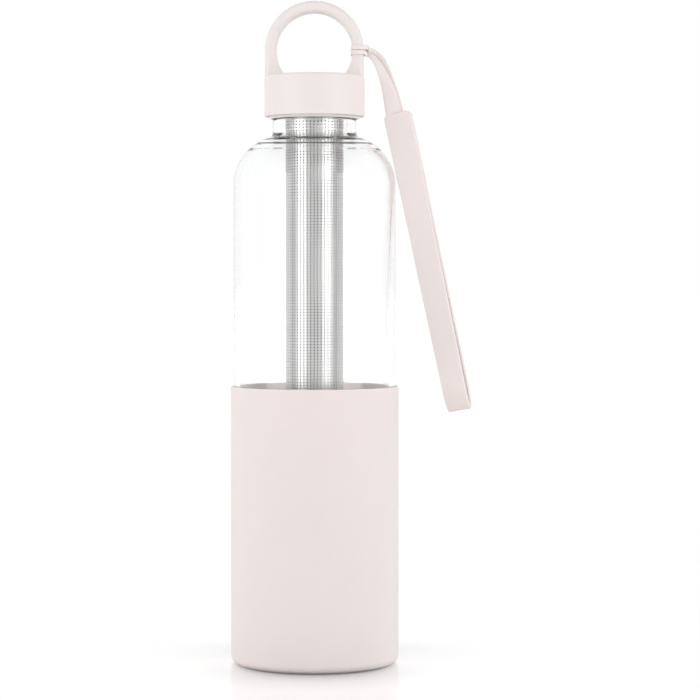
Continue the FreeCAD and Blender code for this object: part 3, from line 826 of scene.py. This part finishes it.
def handle_loop(settings):
    """The loop: an arch on two straight limbs that widen into the lid."""
    sizes = settings.lid
    hitch = hitch_place(settings)
    centre = Vector((0, 0, hitch.z))
    opening = hitch.x - sizes.handle_bar
    front = Vector((0, -sizes.handle_depth / 2, 0))
    foot = lid_top(settings) - sizes.roof / 2
    bm = bmesh.new()
    inner = bm.verts.new(centre + front + Vector((opening, 0, 0)))
    outer = bm.verts.new(hitch + front)
    rung = bm.edges.new((inner, outer))
    bmesh.ops.spin(
        bm, geom=[inner, outer, rung], axis=(0, -1, 0), cent=centre,
        angle=math.pi, steps=ARCH_STEPS,
    )
    # The limbs go on straight outside, while inside they follow the round opening down.
    drop = hitch.z - foot
    for side in (1, -1):
        rung = next(
            e for e in bm.edges
            if all(abs(v.co.z - centre.z) < MERGE and v.co.x * side > 0 for v in e.verts)
        )
        for step in range(1, LIMB_STEPS + 1):
            grown = bmesh.ops.extrude_edge_only(bm, edges=[rung])["geom"]
            rung = next(
                g for g in grown if isinstance(g, bmesh.types.BMEdge)
                and all(v in grown for v in g.verts)
            )
            down = drop * step / LIMB_STEPS
            inner, outer = sorted(rung.verts, key=lambda v: abs(v.co.x))
            inner.co = (side * math.sqrt(opening ** 2 - down ** 2), front.y, centre.z - down)
            outer.co.z = centre.z - down
    grown = bmesh.ops.extrude_face_region(bm, geom=bm.faces[:])["geom"]
    bmesh.ops.translate(bm, verts=verts_of(grown), vec=-2 * front)
    bmesh.ops.recalc_face_normals(bm, faces=bm.faces)
    long_edges = [
        e for e in sharp_edges(bm)
        if abs(e.verts[0].co.y - e.verts[1].co.y) < MERGE
        and not all(abs(v.co.z - foot) < MERGE for v in e.verts)
    ]
    round_edges(bm, long_edges, sizes.handle_round, 6)
    return bm


def joined(name, first, second):
    """One closed skin round two meshes that overlap."""
    piece = add_piece(name, first)
    other = add_piece(name + "_part", second)
    union = piece.modifiers.new("union", "BOOLEAN")
    union.object = other
    union.operation = "UNION"
    union.solver = "MANIFOLD"
    graph = bpy.context.evaluated_depsgraph_get()
    mesh = bpy.data.meshes.new_from_object(piece.evaluated_get(graph))
    bm = bmesh.new()
    bm.from_mesh(mesh)
    bpy.data.objects.remove(piece)
    bpy.data.objects.remove(other)
    bmesh.ops.remove_doubles(bm, verts=bm.verts, dist=MERGE)
    return bm


class BuildLid(bpy.types.Operator):
    """Make the lid with its loop handle, the inner ring with its lugs, and the washer"""
    bl_idname = "infuser_bottle.lid"
    bl_label = "Lid"

    def execute(self, context):
        settings = context.scene.infuser_bottle
        finishes = settings.finishes
        bm = joined("lid_body", lid_cup(settings), handle_loop(settings))
        shell = even_shading(add_piece("lid_body", bm))
        plastic = moulded_material("lid_plastic", finishes.lid, roughness=0.42)
        dress(shell, plastic, "lid", "lid_shell")
        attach(shell, "lid")
        liner_plastic = moulded_material("liner_plastic", finishes.liner, roughness=0.30)
        self.make_liner(settings.lid, liner_plastic)
        self.make_washer(settings)
        return {"FINISHED"}

    def make_liner(self, sizes, plastic):
        radius = radius_of("lid_liner")
        foot, top = heights_of("lid_liner")
        bore = radius - sizes.liner_wall
        ceiling = top - sizes.liner_roof
        lug_foot = foot + sizes.lug_rise
        lug_top = lug_foot + sizes.lug_height
        bm = turned([
            (0, ceiling), (bore, ceiling), (bore, lug_top), (bore, lug_foot), (bore, foot),
            (radius - sizes.liner_chamfer, foot), (radius, foot + sizes.liner_lip),
            (radius, top), (0, top),
        ])
        raise_lugs(bm, bore, sizes.lug_tip, lug_foot, lug_top, math.pi, sizes.lug_angle)
        round_edges(bm, sharp_edges(bm), sizes.liner_edge)
        piece = even_shading(add_piece("lid_ring", bm))
        dress(piece, plastic, "liner", "lid_liner")
        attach(piece, "lid")

    def make_washer(self, settings):
        foot, top = heights_of("lid_seal")
        outer = radius_of("lid_seal")
        inner = radius_of("infuser_tube") + settings.infuser.fit
        outline = [(inner, foot), (outer, foot), (outer, top), (inner, top)]
        piece = round_piece("lid_washer", outline, settings.lid.washer_edge)
        dress(piece, bpy.data.materials["seal_silicone"], "seal", "lid_seal")
        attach(piece, "lid_gasket")


# The thong's route in millimetres from the hitch: across, deep, up. It leaves the collar in front,
# goes round the limb in the lower turn, makes the bight, goes back round in the upper turn, and
# comes down behind.
STRAND_FRONT = [
    (12.1, -1.1, -25.7), (11.4, -1.1, -22.4), (10.6, -1.1, -18.4), (9.4, -1.1, -14.0),
    (7.8, -1.1, -9.8), (6.1, -1.1, -6.2), (4.5, -1.1, -3.7), (3.0, -1.1, -2.1),
    (1.8, -0.8, -1.1), (0.7, 0.6, -0.7),
]
TURN = [
    (0.45, 3.2), (0.0, 5.0), (-1.8, 5.45), (-2.8, 5.45), (-4.6, 5.0), (-5.05, 3.2),
    (-5.05, -3.2), (-4.6, -5.0), (-2.8, -5.45), (-1.8, -5.45), (0.0, -5.0),
]
LOWER_TURN, UPPER_TURN = -0.9, 1.05
BIGHT = [
    (0.6, -3.2, -1.0), (1.2, -1.3, -1.6), (1.7, 0.9, -1.6), (1.9, 1.6, 0.1), (1.7, 0.9, 1.6),
    (1.2, -1.3, 1.6), (0.6, -3.2, 1.1),
]
STRAND_BACK = [
    (0.7, 0.6, 0.8), (1.7, -0.7, 0.6), (2.9, 0.1, 0.3), (4.7, 0.9, -0.5), (6.4, 1.1, -2.0),
    (7.6, 1.1, -4.0), (8.6, 1.1, -6.4), (9.4, 1.1, -9.2), (10.3, 1.1, -12.8),
    (11.3, 1.1, -17.0), (12.1, 1.1, -21.0), (13.1, 1.1, -25.5),
]
# Half the length in the bight over which the thong's flat faces the strap's side
BIGHT_HALF = 4 * MM
# From the hitch to the collar a strand thickens sooner than it widens.
THICKENING = 0.6
# Corner of the thong's section, as a share of its width and thickness
THONG_CORNER = 0.28


def thong_route():
    lower = [(across, deep, LOWER_TURN) for across, deep in TURN]
    upper = [(across, deep, UPPER_TURN) for across, deep in reversed(TURN)]
    return STRAND_FRONT + lower + BIGHT + upper + STRAND_BACK


def smooth_line(points):
    """Points read from the smooth curve that the given points guide."""
    curve = bpy.data.curves.new("route", "CURVE")
    curve.dimensions = "3D"
    curve.resolution_u = 6
    spline = curve.splines.new("NURBS")
    spline.points.add(len(points) - 1)
    for point, place in zip(spline.points, points):
        point.co = (*place, 1)
    spline.order_u = 3
    spline.use_endpoint_u = True
    guide = bpy.data.objects.new("route", curve)
    mesh = bpy.data.meshes.new_from_object(guide)
    line = [vert.co.copy() for vert in mesh.vertices]
    bpy.data.objects.remove(guide)
    bpy.data.meshes.remove(mesh)
    return line


def strap_place(settings, along, yaw):
    """Frame of the hanging strap at a distance below the collar's top, turned about its length."""
    sizes = settings.strap
    start = hitch_place(settings) + Vector((sizes.collar_reach, 0, -sizes.collar_drop))
    lean = Matrix.Rotation(-sizes.lean, 4, "Y")
    return (
        Matrix.Translation(start) @ lean
        @ Matrix.Translation((0, 0, -along)) @ Matrix.Rotation(-yaw, 4, "Z")
    )


class BuildStrap(bpy.types.Operator):
    """Make the thong hitched round the handle, the collar and the folded band"""
    bl_idname = "infuser_bottle.strap"
    bl_label = "Strap"

    def execute(self, context):
        settings = context.scene.infuser_bottle
        silicone = silicone_material("strap_silicone", settings.finishes.strap, translucence=0.0)
        self.make_collar(settings, silicone)
        self.make_band(settings, silicone)
        self.make_thong(settings, silicone)
        return {"FINISHED"}

    def make_collar(self, settings, silicone):
        sizes = settings.strap
        bm = bmesh.new()
        bmesh.ops.create_cube(bm, size=1)
        bmesh.ops.scale(
            bm, verts=bm.verts, vec=(sizes.collar_width, sizes.collar_depth, sizes.collar_length)
        )
        bmesh.ops.translate(bm, verts=bm.verts, vec=(0, 0, -sizes.collar_length / 2))
        upper_corners = [
            e for e in bm.edges
            if all(v.co.z > -MERGE for v in e.verts) and e.verts[0].co.x * e.verts[1].co.x > 0
        ]
        round_edges(bm, upper_corners, sizes.collar_bevel, 1)
        # The lower end stays sharp, where the band goes on with the same section.
        lower_end = MERGE - sizes.collar_length
        shown = [e for e in sharp_edges(bm) if any(v.co.z > lower_end for v in e.verts)]
        round_edges(bm, shown, sizes.collar_round, 4)
        bmesh.ops.transform(bm, matrix=strap_place(settings, 0, sizes.collar_yaw), verts=bm.verts)
        piece = even_shading(add_piece("strap_clasp", bm))
        dress(piece, silicone, "strap", "strap_collar")
        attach(piece, "strap")

    def make_band(self, settings, silicone):
        """Down the front layer, round the fold and up the back layer."""
        sizes = settings.strap
        straight = sizes.band_length - sizes.fold_reach
        down = [straight * step / BAND_STEPS for step in range(BAND_STEPS)]
        around = [math.pi * step / BAND_STEPS for step in range(BAND_STEPS + 1)]
        places = [self.layer_place(settings, along, -1) for along in down]
        places += [self.fold_place(settings, straight, turn) for turn in around]
        places += [self.layer_place(settings, along, 1) for along in reversed(down)]
        bm = rounded_section(sizes.band_width, sizes.band_layer, sizes.band_round, 4)
        carry(bm, places)
        piece = even_shading(add_piece("strap_loop", bm))
        dress(piece, silicone, "strap", "strap_band")
        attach(piece, "strap")

    def layer_place(self, settings, along, side):
        """Place of the band's section on its front (-1) or back (1) layer.

        Under the collar the section is as large as the collar's, and it settles to its own size.
        """
        sizes = settings.strap
        inner = sizes.band_gap / 2
        settled = min(1.0, along / sizes.settle_length)
        outer = between(sizes.collar_depth / 2, inner + sizes.band_layer, settled)
        width = between(sizes.collar_width, sizes.band_width, settled)
        return self.section_place(settings, (side * inner, along), (side * outer, along), width)

    def fold_place(self, settings, straight, turn):
        """Place of the band's section on the fold, which is longer than it is deep."""
        sizes = settings.strap
        inner = sizes.band_gap / 2
        outer = inner + sizes.band_layer
        inner_reach = sizes.fold_reach - sizes.band_layer
        near = (-inner * math.cos(turn), straight + inner_reach * math.sin(turn))
        far = (-outer * math.cos(turn), straight + sizes.fold_reach * math.sin(turn))
        return self.section_place(settings, near, far, sizes.band_width)

    def section_place(self, settings, near, far, width):
        """Matrix of a section between two points, each given as depth and distance below the collar."""
        sizes = settings.strap
        depth, along = (Vector(near) + Vector(far)) / 2
        through = (Vector(far) - Vector(near)) / sizes.band_layer
        yaw = between(sizes.collar_yaw, sizes.fold_yaw, along / sizes.band_length)
        across = Vector((width / sizes.band_width, 0, 0))
        thick = Vector((0, through.x, -through.y))
        section = Matrix((across, thick, across.cross(thick))).transposed().to_4x4()
        below_collar = strap_place(settings, sizes.collar_length + along, yaw)
        return below_collar @ Matrix.Translation((0, depth, 0)) @ section

    def make_thong(self, settings, silicone):
        sizes = settings.strap
        hitch = hitch_place(settings)
        line = smooth_line([hitch + Vector(point) * MM for point in thong_route()])
        walked = [0.0]
        for before, after in zip(line, line[1:]):
            walked.append(walked[-1] + (after - before).length)
        whole = walked[-1]
        places = []
        for index, point in enumerate(line):
            ahead = (line[min(index + 1, len(line) - 1)] - line[max(index - 1, 0)]).normalized()
            past_middle = walked[index] - whole / 2
            if abs(past_middle) < BIGHT_HALF:
                facing = Vector((1, 0, 0))
            else:
                facing = ahead.cross(UP) * (-1 if past_middle > 0 else 1)
            facing = (facing - facing.dot(ahead) * ahead).normalized()
            # 1 at the collar, and 0 where the thong is slim
            full = max(0.0, 1 - min(walked[index], whole - walked[index]) / sizes.strand_length)
            width = between(sizes.thong_width, sizes.foot_width, full * full * (3 - 2 * full))
            thickness = between(sizes.thong_thickness, sizes.foot_thickness, full ** THICKENING)
            section = Matrix((facing.cross(ahead) * width, facing * thickness, ahead))
            places.append(Matrix.Translation(point) @ section.transposed().to_4x4())
        bm = rounded_section(1, 1, THONG_CORNER)
        carry(bm, places)
        piece = add_piece("strap_thong", bm)
        dress(
            piece, silicone, "strap",
            "strap_hitch", "strap_strand_front", "strap_strand_back",
        )
        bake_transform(piece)


# Stage

def add_softbox(name, stage, side):
    """A softbox on one side of the camera, facing the bottle's axis."""
    data = bpy.data.lights.new(name, "AREA")
    data.shape = "RECTANGLE"
    data.size, data.size_y = stage.box_width, stage.box_height
    data.energy = stage.box_glow * math.pi * stage.box_width * stage.box_height
    turn = side * stage.box_angle
    away = stage.box_away * Vector((math.sin(turn), -math.cos(turn), 0))
    lamp = bpy.data.objects.new(name, data)
    lamp.location = stage.box_level * UP + away
    lamp.rotation_euler = (-away).to_track_quat("-Z", "Y").to_euler()
    bpy.context.scene.collection.objects.link(lamp)


def seen_mask(tree, rays):
    """1 for what the eye sees, straight, in a gloss or through glass, and 0 for stray light."""
    straight_or_gloss = math_node(tree, "MAXIMUM", rays["Is Camera Ray"], rays["Is Glossy Ray"])
    return math_node(tree, "MAXIMUM", straight_or_gloss, rays["Is Transmission Ray"])


def studio_world(stage):
    """White all round at eye level, a dimmer ceiling in gloss and glass, and an even fill light."""
    world = bpy.data.worlds.new("studio")
    bpy.context.scene.world = world
    world.use_nodes = True
    tree = world.node_tree
    rays = add_node(tree, "LightPath").outputs
    direction = add_node(tree, "TexCoord").outputs["Generated"]
    axes = add_node(tree, "SeparateXYZ", {0: direction}).outputs
    ceiling = add_node(tree, "MapRange", {
        "Value": axes["Z"], "From Min": 0.65, "From Max": 0.95,
        "To Min": 1.0, "To Max": stage.ceiling,
    })
    backdrop = add_node(tree, "Mix", {
        "Factor": rays["Is Camera Ray"], "A": ceiling.outputs["Result"], "B": 1.0,
    })
    sideways = math_node(tree, "MULTIPLY", axes["X"], axes["X"])
    fill = math_node(tree, "MULTIPLY_ADD", sideways, stage.side_fill, stage.ambient)
    strength = add_node(tree, "Mix", {
        "Factor": seen_mask(tree, rays), "A": fill, "B": backdrop.outputs["Result"],
    })
    fill_inputs(tree, tree.nodes["Background"], {
        "Color": (1, 1, 1, 1), "Strength": strength.outputs["Result"],
    })


def floor_material(stage):
    """Glossy pale acrylic, with a painted contact shade in its colour at the bottle's foot."""
    material, tree, shader = new_material("studio_floor")
    pale = (*stage.floor, 1)
    painted_contact_shade = add_node(tree, "AmbientOcclusion", {"Color": pale, "Distance": stage.contact_reach})
    # Painted shade: ambient occlusion darkens the floor's colour before the bottle and behind it. A
    # mask by bearing leaves the painted shade out at both sides.
    place = add_node(tree, "TexCoord").outputs["Object"]
    bearing = add_node(tree, "VectorMath", {0: place}, operation="NORMALIZE")
    axes = add_node(tree, "SeparateXYZ", {0: bearing.outputs["Vector"]})
    shade_cut_at_sides = math_node(tree, "POWER", axes.outputs["X"], SHADE_CUT_POWER)
    fill_inputs(tree, shader, {
        "Base Color": mix_colour(tree, shade_cut_at_sides, painted_contact_shade.outputs["Color"], pale), "Roughness": 0.10,
    })
    seen = seen_mask(tree, add_node(tree, "LightPath").outputs)
    glow = math_node(tree, "MULTIPLY", seen, stage.floor_glow)
    white = add_node(tree, "Emission", {"Strength": glow})
    both = add_node(tree, "AddShader", {0: shader.outputs["BSDF"], 1: white.outputs["Emission"]})
    fill_inputs(tree, tree.nodes["Material Output"], {"Surface": both.outputs["Shader"]})
    return material


class BuildStage(bpy.types.Operator):
    """Set up the floor, the softboxes, the studio light and the camera"""
    bl_idname = "infuser_bottle.stage"
    bl_label = "Stage"

    def execute(self, context):
        scene = context.scene
        stage = scene.infuser_bottle.stage
        scene.view_settings.view_transform = "Standard"
        studio_world(stage)

        bm = bmesh.new()
        bmesh.ops.create_grid(bm, x_segments=1, y_segments=1, size=stage.floor_reach)
        bmesh.ops.translate(bm, verts=bm.verts, vec=(0, 0, -stage.floor_drop))
        floor = add_piece("studio_floor", bm)
        floor.data.materials.append(floor_material(stage))

        add_softbox("softbox_left", stage, -1)
        add_softbox("softbox_right", stage, 1)

        data = bpy.data.cameras.new("camera")
        data.lens = stage.lens
        camera = bpy.data.objects.new("camera", data)
        camera.location = stage.camera_place
        camera.rotation_euler = (math.pi / 2 - stage.camera_tilt, 0, 0)
        scene.collection.objects.link(camera)
        scene.camera = camera
        return {"FINISHED"}


class BottlePanel(bpy.types.Panel):
    """Lists the steps that build the bottle"""
    bl_idname = "VIEW3D_PT_infuser_bottle"
    bl_label = "Infuser bottle"
    bl_space_type = "VIEW_3D"
    bl_region_type = "UI"
    bl_category = "Bottle"

    def draw(self, context):
        for step in STEPS:
            self.layout.operator(step.bl_idname)
        settings = context.scene.infuser_bottle
        for group in (settings.finishes, settings.stage):
            box = self.layout.box()
            for name in group.__annotations__:
                box.prop(group, name)


STEPS = (BuildStage, BuildGlass, BuildSleeve, BuildInfuser, BuildLid, BuildStrap)
GROUPS = (
    GlassSizes, SleeveSizes, InfuserSizes, LidSizes, StrapSizes, Finishes, StageSettings,
    BottleSettings,
)


def register():
    for item in GROUPS + STEPS + (BottlePanel,):
        bpy.utils.register_class(item)
    bpy.types.Scene.infuser_bottle = PointerProperty(type=BottleSettings)


def unregister():
    del bpy.types.Scene.infuser_bottle
    for item in reversed(GROUPS + STEPS + (BottlePanel,)):
        bpy.utils.unregister_class(item)


def main():
    register()
    bpy.ops.infuser_bottle.stage()
    bpy.ops.infuser_bottle.glass()
    bpy.ops.infuser_bottle.sleeve()
    bpy.ops.infuser_bottle.infuser()
    bpy.ops.infuser_bottle.lid()
    bpy.ops.infuser_bottle.strap()


if __name__ == "__main__":
    main()
